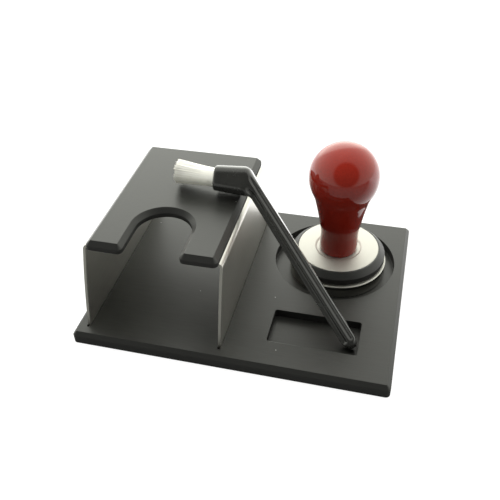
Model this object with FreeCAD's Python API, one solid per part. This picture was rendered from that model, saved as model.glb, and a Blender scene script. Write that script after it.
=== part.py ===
import FreeCAD, Part
import math
import os

os.makedirs("parts", exist_ok=True)

V = FreeCAD.Vector
UP = V(0, 0, 1)

# Base mat, in millimetres, centred on the origin and standing on z = 0
mat_width = 176.5
mat_depth = 138.5
mat_height = 7.5
mat_edge_bevel = 2.2
mat_top_corner_radius = 0.3
mat_foot_bevel = 0.4

# Hollows in the mat
hollow_floor = 2.5
recess_x = 45.5
recess_y = 26.0
recess_radius = 36.25
pocket_left = 19.5
pocket_right = 68.5
pocket_front = -50.5
pocket_back = -25.5
pocket_corner_radius = 1.5
slot_clearance = 0.1
slot_overrun = 1.0
cutter_overrun = 10.0

# Folded steel bridge
bridge_left = -81.7
bridge_right = -3.5
bridge_middle_y = -0.7
bridge_top = 55.5
sheet_thickness = 1.5
bend_radius = 3.0
foot_half_depth = 60.8
roof_half_depth = 47.1
wall_edge_bulge = 1.2

# Rubber pad glued on the bridge, and the spout notch through both
pad_width = 72.9
pad_thickness = 5.0
pad_overhang = 4.1
pad_shift = 0.7
pad_edge_bevel = 2.6
pad_top_corner_radius = 0.3
notch_radius = 15.8
notch_centre_y = -30.35
notch_setback = 2.0
roof_mouth_radius = 2.0

# Tamper, a turned piece standing in the round recess
tamper_x = 47.2
tamper_y = 26.0
piston_radius = 29.0
piston_top = 10.5
piston_edge_bevel = 0.4
collar_radius = 26.2
collar_top = 11.3
hub_radius = 24.0
hub_top = 18.5
foot_recess_radius = 14.0
foot_recess_depth = 0.6
hub_edge_bevel = 0.3
ring_clearance = 0.05
ring_radius = 28.0
ring_edge_bevel = 0.3
ring_side_top = 15.2
ring_lip_radius = 24.8
ring_lip_bevel = 0.15
ring_top = 18.3
stud_radius = 4.0
stud_bottom = 8.0
stud_top = 38.0
stud_clearance = 0.05
stud_end_bevel = 0.6
ball_radius = 20.0
ball_centre_z = 68.0
ball_join_angle = -24.0

# Neck of the tamper's handle, as radius and height above its seat
neck_profile = [
    (10.7, 0.0),
    (11.0, 0.6),
    (11.2, 2.6),
    (11.2, 5.0),
    (11.1, 7.4),
    (11.05, 9.8),
    (11.1, 12.2),
    (11.45, 14.9),
    (12.07, 18.8),
    (12.83, 22.9),
    (13.75, 27.3),
    (14.72, 31.3),
    (15.62, 34.6),
    (16.65, 38.0)]

# Brush head, lying on the pad with its bristles towards the left
brush_line_y = 8.4
brush_rest_gap = 0.015
bend_beyond_wall = 0.5
socket_length = 19.6
socket_half_height = 8.2
socket_mouth_half_height = 7.1
socket_half_thickness = 6.8
socket_corner_radius = 4.0
socket_mouth_bevel = 0.7
socket_rim_run = 1.2
socket_shoulder_run = 1.0
bore_radius = 5.2
bore_depth = 9.0
bristle_clearance = 0.05
bristle_root_radius = 5.75
bristle_tip_radius = 7.0
bristle_length = 24.6

# Brush grip, from the bend down to its tip in the pocket
tip_to_pocket_right = 2.4
tip_to_pocket_front = 7.9
tip_above_floor = 2.08
throat_run = 7.7
grip_start_half_width = 3.9
grip_end_half_width = 4.1
grip_half_thickness = 3.8
grip_corner_radius = 1.4
nose_run = 6.0
brow_run = 2.2
brow_bevel = 0.5
nose_bevel = 1.6
nose_corner_radius = 0.9
groove_radius = 0.95
groove_start_run = 10.5
groove_end_run = 7.5
groove_start_offset = 1.9
groove_end_offset = 2.1

centre_x = (bridge_left + bridge_right) / 2.0
pad_x = centre_x + pad_shift
pad_top = bridge_top + pad_thickness
head_axis = V(-1, 0, 0)
tip_x = pocket_right - tip_to_pocket_right
tip_y = pocket_front + tip_to_pocket_front
tip_point = V(tip_x, tip_y, hollow_floor + tip_above_floor)


def resting_bend_point():
    """Bend of the brush when the lowest corner of its socket lies on the edge of the pad's top."""
    r = socket_corner_radius
    point = V(bridge_right + bend_beyond_wall, brush_line_y, pad_top + socket_half_height)
    run = point.x - (pad_x + pad_width / 2.0 - pad_edge_bevel)
    share = (run - socket_shoulder_run) / (socket_length - socket_rim_run - socket_shoulder_run)
    half = socket_half_height + (socket_mouth_half_height - socket_half_height) * share
    for _ in range(12):
        along = (tip_point - point).normalize()
        side = head_axis.cross(along).normalize()
        rise = head_axis.cross(side)
        reach = abs(side.z) * (socket_half_thickness - r) + abs(rise.z) * (half - r) + r
        point.z = pad_top + reach + brush_rest_gap
    return point


bend_point = resting_bend_point()
grip_axis = (tip_point - bend_point).normalize()
grip_length = (tip_point - bend_point).Length
bend_normal = head_axis.cross(grip_axis).normalize()


def rounded_outline(corners, z):
    """Closed face from (x, y, radius) corners, each corner rounded by an arc."""
    count = len(corners)
    spans = []
    for i in range(count):
        x, y, radius = corners[i]
        point = V(x, y, z)
        before = V(corners[i - 1][0], corners[i - 1][1], z)
        after = V(corners[(i + 1) % count][0], corners[(i + 1) % count][1], z)
        u = (before - point).normalize()
        v = (after - point).normalize()
        half = u.getAngle(v) / 2.0
        reach = radius / math.tan(half)
        middle = (u + v).normalize()
        centre = point + middle * (radius / math.sin(half))
        start = point + u * reach
        end = point + v * reach
        spans.append((start, centre - middle * radius, end))
    edges = []
    for i in range(count):
        start, through, end = spans[i]
        edges.append(Part.Arc(start, through, end).toShape())
        following = spans[(i + 1) % count][0]
        if (following - end).Length > 1e-6:
            edges.append(Part.makeLine(end, following))
    return Part.Face(Part.Wire(edges))


def turned(profile, x, y):
    """Solid of revolution about the vertical line through x, y."""
    points = [V(r, 0, z) for r, z in profile]
    points.append(points[0])
    face = Part.Face(Part.makePolygon(points))
    solid = face.revolve(V(0, 0, 0), UP, 360)
    solid.translate(V(x, y, 0))
    return solid


def edges_at_height(solid, z):
    """Edges that lie wholly in the horizontal plane at z."""
    found = []
    for edge in solid.Edges:
        box = edge.BoundBox
        if abs(box.ZMin - z) < 1e-6 and abs(box.ZMax - z) < 1e-6:
            found.append(edge)
    return found


def mat_blank():
    w = mat_width / 2.0
    d = mat_depth / 2.0
    r = mat_edge_bevel + mat_top_corner_radius
    face = rounded_outline([(-w, -d, r), (w, -d, r), (w, d, r), (-w, d, r)], 0)
    solid = face.extrude(V(0, 0, mat_height))
    solid = solid.makeChamfer(mat_edge_bevel, edges_at_height(solid, mat_height))
    return solid.makeChamfer(mat_foot_bevel, edges_at_height(solid, 0))


def slot_cutter(x_low):
    """Long blind slot for one wall of the bridge, open at the mat's top."""
    half = foot_half_depth + slot_overrun
    front = bridge_middle_y - half
    back = bridge_middle_y + half
    width = sheet_thickness + 2.0 * slot_clearance
    low = x_low - slot_clearance
    high = low + width
    r = width / 2.05
    face = rounded_outline([(low, front, r), (high, front, r), (high, back, r), (low, back, r)], hollow_floor)
    return face.extrude(V(0, 0, mat_height))


def base_mat():
    recess = Part.makeCylinder(recess_radius, mat_height, V(recess_x, recess_y, hollow_floor))
    r = pocket_corner_radius
    pocket = rounded_outline([
        (pocket_left, pocket_front, r),
        (pocket_right, pocket_front, r),
        (pocket_right, pocket_back, r),
        (pocket_left, pocket_back, r)], hollow_floor)
    solid = mat_blank().cut(recess)
    solid = solid.cut(pocket.extrude(V(0, 0, mat_height)))
    solid = solid.cut(slot_cutter(bridge_left))
    return solid.cut(slot_cutter(bridge_right - sheet_thickness))


def notched_plate(half_width, half_depth, corner_radius, notch, mouth_radius, z):
    """Plan of a plate with the round-ended spout notch in its front edge."""
    front = bridge_middle_y - half_depth
    back = bridge_middle_y + half_depth
    top = notch_centre_y + notch
    corners = [
        (-half_width, front, corner_radius),
        (-notch, front, mouth_radius),
        (-notch, top, notch),
        (notch, top, notch),
        (notch, front, mouth_radius),
        (half_width, front, corner_radius),
        (half_width, back, corner_radius),
        (-half_width, back, corner_radius)]
    return rounded_outline([(pad_x + x, y, r) for x, y, r in corners], z)


def bridge_pad():
    r = pad_edge_bevel + pad_top_corner_radius
    depth = roof_half_depth + pad_overhang
    face = notched_plate(pad_width / 2.0, depth, r, notch_radius, r, bridge_top)
    solid = face.extrude(V(0, 0, pad_thickness))
    return solid.makeChamfer(pad_edge_bevel, edges_at_height(solid, bridge_top + pad_thickness))


def folded_strip():
    """Constant section of the fold, run along the whole depth."""
    x0 = bridge_left
    x1 = bridge_right
    z0 = hollow_floor
    z1 = bridge_top
    ro = bend_radius
    ri = bend_radius - sheet_thickness
    t = sheet_thickness
    s = math.sqrt(0.5)
    y = bridge_middle_y - foot_half_depth
    left = V(x0 + ro, y, z1 - ro)
    right = V(x1 - ro, y, z1 - ro)
    out_l = Part.Arc(V(x0, y, z1 - ro), left + V(-ro * s, 0, ro * s), V(x0 + ro, y, z1)).toShape()
    out_r = Part.Arc(V(x1 - ro, y, z1), right + V(ro * s, 0, ro * s), V(x1, y, z1 - ro)).toShape()
    in_r = Part.Arc(V(x1 - t, y, z1 - ro), right + V(ri * s, 0, ri * s), V(x1 - ro, y, z1 - t)).toShape()
    in_l = Part.Arc(V(x0 + ro, y, z1 - t), left + V(-ri * s, 0, ri * s), V(x0 + t, y, z1 - ro)).toShape()
    wire = Part.Wire([
        Part.makeLine(V(x0, y, z0), V(x0, y, z1 - ro)),
        out_l,
        Part.makeLine(V(x0 + ro, y, z1), V(x1 - ro, y, z1)),
        out_r,
        Part.makeLine(V(x1, y, z1 - ro), V(x1, y, z0)),
        Part.makeLine(V(x1, y, z0), V(x1 - t, y, z0)),
        Part.makeLine(V(x1 - t, y, z0), V(x1 - t, y, z1 - ro)),
        in_r,
        Part.makeLine(V(x1 - ro, y, z1 - t), V(x0 + ro, y, z1 - t)),
        in_l,
        Part.makeLine(V(x0 + t, y, z1 - ro), V(x0 + t, y, z0)),
        Part.makeLine(V(x0 + t, y, z0), V(x0, y, z0))])
    return Part.Face(wire).extrude(V(0, 2.0 * foot_half_depth, 0))


def wall_side_view():
    """Walls widen in a slight curve from the roof down to the feet, the same front and back."""
    x = bridge_left - cutter_overrun
    m = bridge_middle_y
    under = bridge_top - sheet_thickness
    f = foot_half_depth
    r = roof_half_depth
    b = wall_edge_bulge
    half_way = (hollow_floor + under) / 2.0
    edges = [
        Part.makeLine(V(x, m - f, hollow_floor), V(x, m + f, hollow_floor)),
        Part.Arc(V(x, m + f, hollow_floor), V(x, m + (f + r) / 2.0 + b, half_way), V(x, m + r, under)).toShape(),
        Part.makeLine(V(x, m + r, under), V(x, m + r, under + cutter_overrun)),
        Part.makeLine(V(x, m + r, under + cutter_overrun), V(x, m - r, under + cutter_overrun)),
        Part.makeLine(V(x, m - r, under + cutter_overrun), V(x, m - r, under)),
        Part.Arc(V(x, m - r, under), V(x, m - (f + r) / 2.0 - b, half_way), V(x, m - f, hollow_floor)).toShape()]
    run = bridge_right - bridge_left + 2.0 * cutter_overrun
    return Part.Face(Part.Wire(edges)).extrude(V(run, 0, 0))


def notch_cutter():
    """Upright block for the roof's notch, set back a little under the rubber."""
    under = bridge_top - sheet_thickness
    notch = notch_radius + notch_setback
    half = pad_width / 2.0
    r = roof_mouth_radius
    plan = notched_plate(half + cutter_overrun, roof_half_depth, r, notch, r, under)
    front = bridge_middle_y - roof_half_depth
    depth = notch_centre_y + notch + cutter_overrun - front
    cover = Part.makeBox(pad_width, depth, cutter_overrun, V(pad_x - half, front, under))
    return cover.cut(plan.extrude(V(0, 0, cutter_overrun)))


def bridge_sheet():
    solid = folded_strip().common(wall_side_view())
    return solid.cut(notch_cutter()).removeSplitter()


def tamper_base():
    b = piston_edge_bevel
    floor = hollow_floor
    seat = hub_top - foot_recess_depth
    hole = stud_radius + stud_clearance
    profile = [
        (0, floor),
        (piston_radius - b, floor),
        (piston_radius, floor + b),
        (piston_radius, piston_top - b),
        (piston_radius - b, piston_top),
        (collar_radius, piston_top),
        (collar_radius, collar_top),
        (hub_radius, collar_top),
        (hub_radius, hub_top - hub_edge_bevel),
        (hub_radius - hub_edge_bevel, hub_top),
        (foot_recess_radius, hub_top),
        (foot_recess_radius - foot_recess_depth / 3.0, seat),
        (hole, seat),
        (hole, stud_bottom),
        (0, stud_bottom)]
    return turned(profile, tamper_x, tamper_y)


def tamper_ring():
    inner = hub_radius + ring_clearance
    b = ring_edge_bevel
    profile = [
        (inner, collar_top),
        (ring_radius - b, collar_top),
        (ring_radius, collar_top + b),
        (ring_radius, ring_side_top),
        (ring_radius - b, ring_side_top + b),
        (ring_lip_radius, ring_top - ring_lip_bevel),
        (ring_lip_radius - ring_lip_bevel, ring_top),
        (inner, ring_top)]
    return turned(profile, tamper_x, tamper_y)


def tamper_stud():
    b = stud_end_bevel
    profile = [
        (0, stud_bottom),
        (stud_radius - b, stud_bottom),
        (stud_radius, stud_bottom + b),
        (stud_radius, stud_top - b),
        (stud_radius - b, stud_top),
        (0, stud_top)]
    return turned(profile, tamper_x, tamper_y)


def tamper_handle():
    seat = hub_top - foot_recess_depth
    blend = math.radians(ball_join_angle)

    def on_ball(angle):
        return V(ball_radius * math.cos(angle), 0, ball_centre_z + ball_radius * math.sin(angle))

    join = on_ball(blend)
    neck = [V(radius, 0, seat + height) for radius, height in neck_profile]
    neck.append(on_ball(blend - math.radians(2.5)))
    neck.append(join)
    start = neck[0]
    curve = Part.BSplineCurve()
    curve.interpolate(neck)
    side = on_ball(math.radians(25.0))
    crown = on_ball(math.radians(90.0))
    ball = Part.Arc(join, side, crown).toShape()
    wire = Part.Wire([
        Part.makeLine(V(0, 0, seat), start),
        curve.toShape(),
        ball,
        Part.makeLine(crown, V(0, 0, seat))])
    solid = Part.Face(wire).revolve(V(0, 0, 0), UP, 360)
    hole = Part.makeCylinder(stud_radius + stud_clearance, stud_top - seat, V(0, 0, seat))
    solid = solid.cut(hole)
    solid.translate(V(tamper_x, tamper_y, 0))
    return solid


def section_wire(centre, direction, half_thick, half_wide, radius):
    """Rounded rectangle square to a direction that lies in the bend plane."""
    side = bend_normal
    rise = direction.cross(side).normalize()
    quarter = math.sqrt(0.5)

    def at(a, b):
        return centre + side * a + rise * b

    p = half_thick - radius
    q = half_wide - radius
    r = radius
    edges = []
    for sa, sb in ((1, 1), (-1, 1), (-1, -1), (1, -1)):
        mid = at(sa * (p + r * quarter), sb * (q + r * quarter))
        along = at(sa * p, sb * (q + r))
        across = at(sa * (p + r), sb * q)
        if sa * sb > 0:
            edges.append(Part.Arc(across, mid, along).toShape())
            edges.append(Part.makeLine(along, at(-sa * p, sb * (q + r))))
        else:
            edges.append(Part.Arc(along, mid, across).toShape())
            edges.append(Part.makeLine(across, at(sa * (p + r), -sb * q)))
    return Part.Wire(edges)


def grip_point(distance):
    return bend_point + grip_axis * distance


def head_point(distance):
    return bend_point + head_axis * distance


def socket_block():
    t = socket_half_thickness
    h = socket_half_height
    m = socket_mouth_half_height
    r = socket_corner_radius
    b = socket_mouth_bevel
    run = head_axis * -1.0
    mouth = section_wire(head_point(socket_length), run, t - b, m - b, r - b)
    rim = section_wire(head_point(socket_length - socket_rim_run), run, t, m, r)
    shoulder = section_wire(head_point(socket_shoulder_run), run, t, h, r)
    body = Part.makeLoft([mouth, rim, shoulder], True, True)
    throat = grip_section(throat_run, grip_start_half_width)
    neck = Part.makeLoft([shoulder, throat], True, True)
    bore = Part.makeCylinder(bore_radius, 2.0 * bore_depth, head_point(socket_length + bore_depth), run)
    return body.fuse(neck).cut(bore)


def grip_section(distance, half_width):
    return section_wire(grip_point(distance), grip_axis, grip_half_thickness, half_width, grip_corner_radius)


def grip_bar():
    t = grip_half_thickness
    w = grip_end_half_width
    r = grip_corner_radius
    near = grip_section(throat_run, grip_start_half_width)
    far = grip_section(grip_length - nose_run, w)
    brow_centre = grip_point(grip_length - brow_run)
    brow = section_wire(brow_centre, grip_axis, t - brow_bevel, w - 1.4 * brow_bevel, r)
    nose = section_wire(tip_point, grip_axis, t - nose_bevel, w - 1.4 * nose_bevel, nose_corner_radius)
    bar = Part.makeLoft([near, far], True, True)
    tip = Part.makeLoft([far, brow, nose], True, True)
    return bar, tip


def grip_groove(face_side, edge_side):
    """Round-bottomed groove on one broad face, with a rounded end."""
    rise = bend_normal.cross(grip_axis).normalize()
    skin = bend_normal * (face_side * grip_half_thickness)
    start = grip_point(groove_start_run) + skin + rise * (edge_side * groove_start_offset)
    end = grip_point(grip_length - groove_end_run) + skin + rise * (edge_side * groove_end_offset)
    run = end - start
    rod = Part.makeCylinder(groove_radius, run.Length, start, run)
    return rod.fuse(Part.makeSphere(groove_radius, end))


def brush_handle():
    bar, tip = grip_bar()
    solid = socket_block().fuse(bar).fuse(tip).removeSplitter()
    for face_side in (-1, 1):
        for edge_side in (-1, 1):
            solid = solid.cut(grip_groove(face_side, edge_side))
    return solid


def brush_bristles():
    inner = bore_radius - bristle_clearance
    deep = socket_length - bore_depth
    spread = bristle_tip_radius - bristle_root_radius
    points = [
        V(0, 0, deep),
        V(inner, 0, deep),
        V(inner, 0, socket_length)]
    flare = Part.BSplineCurve()
    flare.interpolate([
        V(bristle_root_radius, 0, socket_length),
        V(bristle_root_radius + 0.1 * spread, 0, socket_length + bristle_length * 0.35),
        V(bristle_root_radius + 0.8 * spread, 0, socket_length + bristle_length * 0.8),
        V(bristle_tip_radius, 0, socket_length + bristle_length)])
    last = V(0, 0, socket_length + bristle_length)
    wire = Part.Wire([
        Part.makeLine(points[0], points[1]),
        Part.makeLine(points[1], points[2]),
        Part.makeLine(points[2], V(bristle_root_radius, 0, socket_length)),
        flare.toShape(),
        Part.makeLine(V(bristle_tip_radius, 0, last.z), last),
        Part.makeLine(last, points[0])])
    solid = Part.Face(wire).revolve(V(0, 0, 0), UP, 360)
    turn = FreeCAD.Rotation(UP, head_axis)
    solid.Placement = FreeCAD.Placement(bend_point, turn)
    return solid


pieces = [
    ("base_mat", base_mat),
    ("bridge_sheet", bridge_sheet),
    ("bridge_pad", bridge_pad),
    ("tamper_base", tamper_base),
    ("tamper_ring", tamper_ring),
    ("tamper_stud", tamper_stud),
    ("tamper_handle", tamper_handle),
    ("brush_handle", brush_handle),
    ("brush_bristles", brush_bristles)]

for node, make in pieces:
    shape = make()
    if shape.ShapeType == "Compound" and len(shape.Solids) == 1:
        shape = shape.Solids[0]
    box = shape.BoundBox
    print(node, shape.ShapeType, shape.isValid(), len(shape.Solids), round(shape.Volume, 1))
    print("  x %.2f %.2f" % (box.XMin, box.XMax), " y %.2f %.2f" % (box.YMin, box.YMax))
    print("  z %.2f %.2f" % (box.ZMin, box.ZMax))
    shape.exportStep("parts/" + node + ".step")
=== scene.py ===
# %% [markdown]
# # An espresso tamping station
# The real object is a black moulded rubber mat. A folded steel bridge stands in two slots in it, and a
# rubber pad with a spout notch is glued on the bridge. A tamper with a red lacquered handle stands in a
# round recess, and a small brush leans from the pad down into a tray pocket.
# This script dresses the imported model. It works in metres, in the model's own frame, so that nothing has
# to be fitted by eye: the turned pieces take their place and size from the boxes of the nodes that they
# stand for, and the brush repeats the lengths that its node is built with.

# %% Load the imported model
import math

import bmesh
import bpy
import numpy as np
from mathutils import Matrix, Vector


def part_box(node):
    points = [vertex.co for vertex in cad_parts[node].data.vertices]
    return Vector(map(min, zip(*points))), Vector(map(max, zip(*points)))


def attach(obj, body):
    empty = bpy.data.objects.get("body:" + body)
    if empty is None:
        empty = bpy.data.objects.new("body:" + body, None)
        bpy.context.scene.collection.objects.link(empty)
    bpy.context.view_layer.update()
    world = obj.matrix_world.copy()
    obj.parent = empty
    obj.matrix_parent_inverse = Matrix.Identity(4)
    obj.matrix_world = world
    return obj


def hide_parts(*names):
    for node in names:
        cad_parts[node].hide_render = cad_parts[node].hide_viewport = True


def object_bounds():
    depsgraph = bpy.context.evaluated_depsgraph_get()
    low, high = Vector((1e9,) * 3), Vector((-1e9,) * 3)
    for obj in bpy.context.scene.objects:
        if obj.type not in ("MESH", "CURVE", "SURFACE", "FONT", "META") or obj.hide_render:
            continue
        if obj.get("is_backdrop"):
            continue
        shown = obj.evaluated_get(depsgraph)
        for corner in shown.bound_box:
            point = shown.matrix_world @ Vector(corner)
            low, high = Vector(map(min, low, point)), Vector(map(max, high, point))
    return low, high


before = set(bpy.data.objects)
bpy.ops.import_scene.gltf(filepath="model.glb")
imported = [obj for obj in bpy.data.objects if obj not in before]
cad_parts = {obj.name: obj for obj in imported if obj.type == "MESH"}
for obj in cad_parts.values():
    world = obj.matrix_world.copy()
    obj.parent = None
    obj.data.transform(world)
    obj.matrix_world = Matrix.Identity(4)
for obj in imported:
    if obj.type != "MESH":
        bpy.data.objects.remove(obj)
cad_low, cad_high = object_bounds()
MM = 0.001
print("nodes:", sorted(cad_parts))

# %% [markdown]
# ## The camera
# The photograph was taken from the front, a little to the right, looking down at about forty degrees.
# A camera is a place, three turns and a focal length. The turns are written as a heading, a drop below the
# horizon and a small roll, because those are the things a photographer changes one at a time.
# The photograph is cropped, so the lens axis isn't in its middle. The shift puts it back.

# %% Camera
picture_width = 500
camera_place = Vector((0.0771, -0.2996, 0.2789))
heading = -0.2978
drop = 0.7108
roll = -0.0528
focal_pixels = 678.6
axis_across = 229.3
axis_down = 270.4
film_width = 36.0
nearest_seen = 0.01


def aim(heading, rise):
    """Unit vector (sin h cos r, cos h cos r, sin r) for a heading h from +Y towards +X and a rise r."""
    return Vector((math.sin(heading) * math.cos(rise), math.cos(heading) * math.cos(rise), math.sin(rise)))


def camera_axes(heading, drop, roll):
    """Right, up and forward: forward drops below the horizon, and the level pair turns by the roll."""
    forward = aim(heading, -drop)
    level = forward.cross(Vector((0, 0, 1))).normalized()
    top = level.cross(forward)
    right = level * math.cos(roll) + top * math.sin(roll)
    up = top * math.cos(roll) - level * math.sin(roll)
    return right, up, forward


right, up, forward = camera_axes(heading, drop, roll)
camera_data = bpy.data.cameras.new("photo_camera")
camera_data.sensor_width = film_width
camera_data.lens = focal_pixels / picture_width * film_width
camera_data.shift_x = 0.5 - axis_across / picture_width
camera_data.shift_y = axis_down / picture_width - 0.5
camera_data.clip_start = nearest_seen
camera = bpy.data.objects.new("photo_camera", camera_data)
bpy.context.scene.collection.objects.link(camera)
camera.matrix_world = Matrix((
    (right.x, up.x, -forward.x, camera_place.x),
    (right.y, up.y, -forward.y, camera_place.y),
    (right.z, up.z, -forward.z, camera_place.z),
    (0.0, 0.0, 0.0, 1.0)))
bpy.context.scene.camera = camera
print("lens", round(camera_data.lens, 2), "mm")
print("shift", round(camera_data.shift_x, 4), round(camera_data.shift_y, 4))

# %% [markdown]
# ## Shader helpers
# Every finish here is made of nodes, so a few short helpers keep the later cells readable. The first fills
# a node's inputs, each with a plain value or with the output of another node. The rest build on it: they
# add a node, do sums, map a range, and blend two numbers or two colours. Blender counts a Mix node's inputs
# through every kind of value, so its numbers are inputs 2 and 3, and its colours are inputs 6 and 7.

# %% Node helpers


def fill(tree, node, values):
    """Give each input, by name or number, its plain value, or join the given output to it."""
    for key, value in values.items():
        if isinstance(value, bpy.types.NodeSocket):
            tree.links.new(value, node.inputs[key])
        else:
            node.inputs[key].default_value = value


def add_node(tree, kind, values=(), **settings):
    """A new node with its settings made and its inputs filled."""
    made = tree.nodes.new(kind)
    for name, value in settings.items():
        setattr(made, name, value)
    fill(tree, made, dict(values))
    return made


def maths(tree, operation, *parts):
    """The output of a Math node. Each part is a number or a socket."""
    return add_node(tree, "ShaderNodeMath", dict(enumerate(parts)), operation=operation).outputs[0]


def vector_maths(tree, operation, *parts):
    """The same for vectors. A length or a dot product gives a number, and all else gives a vector."""
    made = add_node(tree, "ShaderNodeVectorMath", dict(enumerate(parts)), operation=operation)
    return made.outputs["Value" if operation in ("LENGTH", "DOT_PRODUCT") else "Vector"]


def map_range(tree, value, low, high, to_low=0.0, to_high=1.0, **settings):
    """A number that goes from to_low to to_high as the value goes from low to high."""
    values = dict(enumerate((value, low, high, to_low, to_high)))
    return add_node(tree, "ShaderNodeMapRange", values, **settings).outputs[0]


def blend_numbers(tree, share, low, high):
    """Low where the share is 0 and high where it is 1. Each is a number or a socket."""
    return add_node(tree, "ShaderNodeMix", {0: share, 2: low, 3: high}, data_type="FLOAT").outputs[0]


def blend_colours(tree, share, low, high):
    """The same for colours, where each is three numbers or a socket."""
    low, high = (part if isinstance(part, bpy.types.NodeSocket) else (*part, 1.0) for part in (low, high))
    return add_node(tree, "ShaderNodeMix", {0: share, 6: low, 7: high}, data_type="RGBA").outputs[2]


# %% [markdown]
# ## Starting a finish
# A finish on a piece is a material with one Principled shader, and a pattern that several finishes share is
# a group. Patterns are laid out in object coordinates. Every piece has its origin where the model has its
# own, so these are metres in the model's frame, and a pattern never slides or stretches.

# %% Finish and group helpers


def start_finish(name, colour, roughness, values=()):
    """A material whose Principled shader has these plain values. Returns material, tree and shader."""
    finish = bpy.data.materials.new(name)
    finish.use_nodes = True
    tree = finish.node_tree
    shader = tree.nodes["Principled BSDF"]
    fill(tree, shader, {"Base Color": (*colour, 1.0), "Roughness": roughness, **dict(values)})
    finish.diffuse_color = (*colour, 1.0)
    return finish, tree, shader


def start_group(name, inputs, outputs):
    """A shader node group with named sockets. Returns the group, its inputs' sockets and its way out."""
    group = bpy.data.node_groups.new(name, "ShaderNodeTree")
    for label, kind, value in inputs:
        socket = group.interface.new_socket(label, in_out="INPUT", socket_type=kind)
        socket.default_value = value
    for label in outputs:
        group.interface.new_socket(label, in_out="OUTPUT", socket_type="NodeSocketFloat")
    return group, group.nodes.new("NodeGroupInput").outputs, group.nodes.new("NodeGroupOutput")


def place_group(tree, group, values):
    """The outputs of a group that is laid out in the piece's own metres."""
    values = {"Place": add_node(tree, "ShaderNodeTexCoord").outputs["Object"], **values}
    return add_node(tree, "ShaderNodeGroup", values, node_tree=group).outputs


# %% [markdown]
# ## Grain that runs one way
# Moulded rubber keeps the fine scratches of its mould, and rolled steel keeps the lines of its brushing.
# Both are noise that is stretched along one direction, so one group serves both: it divides the place by
# a length for each axis, and a long length makes a long streak. It puts out a tone and a height.

# %% Grain group
streak_noise = {"Scale": 1.0, "Detail": 3.0, "Roughness": 0.6}
patch_noise = {"Detail": 4.0, "Roughness": 0.55}
grain_group, grain_in, grain_out = start_group(
    "Drawn grain",
    [("Place", "NodeSocketVector", (0, 0, 0)),
     ("Lengths", "NodeSocketVector", (0.01, 0.001, 0.001)),
     ("Patch size", "NodeSocketFloat", 0.03),
     ("Streak share", "NodeSocketFloat", 0.5)],
    ["Tone", "Height"])


def build_grain(tree, given, way_out):
    """Tone = patches and streaks mixed by the share. Height = the streaks alone."""
    shrunk = vector_maths(tree, "DIVIDE", given["Place"], given["Lengths"])
    streaks = add_node(tree, "ShaderNodeTexNoise", {"Vector": shrunk, **streak_noise}).outputs[0]
    per_metre = maths(tree, "DIVIDE", 1.0, given["Patch size"])
    patches = add_node(
        tree, "ShaderNodeTexNoise", {"Vector": given["Place"], "Scale": per_metre, **patch_noise}).outputs[0]
    tone = blend_numbers(tree, given["Streak share"], patches, streaks)
    fill(tree, way_out, {"Tone": tone, "Height": streaks})


build_grain(grain_group, grain_in, grain_out)

# %% [markdown]
# ## Lathe rings
# The tamper's parts are turned, so their fine marks are rings round its axis. The distance from that axis
# drives a noise in one dimension, which gives rings of uneven depth, as a cutting tool leaves them.

# %% Lathe group
ring_noise = {"Scale": 1.0, "Detail": 4.0, "Roughness": 0.7}
lathe_group, lathe_in, lathe_out = start_group(
    "Lathe rings",
    [("Place", "NodeSocketVector", (0, 0, 0)),
     ("Axis", "NodeSocketVector", (0, 0, 0)),
     ("Pitch", "NodeSocketFloat", 0.0004)],
    ["Tone", "Height"])


def build_lathe_rings(tree, given, way_out):
    """Radius = length of (place - axis) with its height left out. Tone = height = noise of radius / pitch."""
    offset = vector_maths(tree, "SUBTRACT", given["Place"], given["Axis"])
    radius = vector_maths(tree, "LENGTH", vector_maths(tree, "MULTIPLY", offset, (1.0, 1.0, 0.0)))
    turns = maths(tree, "DIVIDE", radius, given["Pitch"])
    rings = add_node(tree, "ShaderNodeTexNoise", {"W": turns, **ring_noise}, noise_dimensions="1D").outputs[0]
    fill(tree, way_out, {"Tone": rings, "Height": rings})


build_lathe_rings(lathe_group, lathe_in, lathe_out)

# %% [markdown]
# ## Dust
# Black rubber shows every grain of dust, and the photograph has a few pale specks on the mat. A Voronoi
# pattern gives one point per cell. Only cells whose random number is high keep their speck, so that they
# stay rare and uneven.

# %% Dust group
dust_group, dust_in, dust_out = start_group(
    "Dust specks",
    [("Place", "NodeSocketVector", (0, 0, 0)),
     ("Spacing", "NodeSocketFloat", 0.008),
     ("Rarity", "NodeSocketFloat", 0.8),
     ("Speck size", "NodeSocketFloat", 0.04)],
    ["Mask"])


def build_dust(tree, given, way_out):
    """Mask = 1 where a cell's point is nearer than the speck size and its number is over the rarity."""
    per_metre = maths(tree, "DIVIDE", 1.0, given["Spacing"])
    cells = add_node(tree, "ShaderNodeTexVoronoi", {"Vector": given["Place"], "Scale": per_metre}).outputs
    number = add_node(tree, "ShaderNodeSeparateColor", {0: cells["Color"]}).outputs[0]
    near = maths(tree, "LESS_THAN", cells["Distance"], given["Speck size"])
    rare = maths(tree, "GREATER_THAN", number, given["Rarity"])
    fill(tree, way_out, {"Mask": maths(tree, "MULTIPLY", near, rare)})


build_dust(dust_group, dust_in, dust_out)
print("groups:", [group.name for group in (grain_group, lathe_group, dust_group)])

# %% [markdown]
# ## Tone, bump and facing
# Four more helpers turn a pattern into a look. Noise seldom leaves the range from 0.3 to 0.7, so that range
# is stretched between two colours or two numbers. A height becomes a bump, and the bump can lie on edges
# that are rounded in the shading alone. And the way a face looks, up or to the front, can choose a finish.

# %% Look helpers
noise_low = 0.3
noise_high = 0.7


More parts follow.
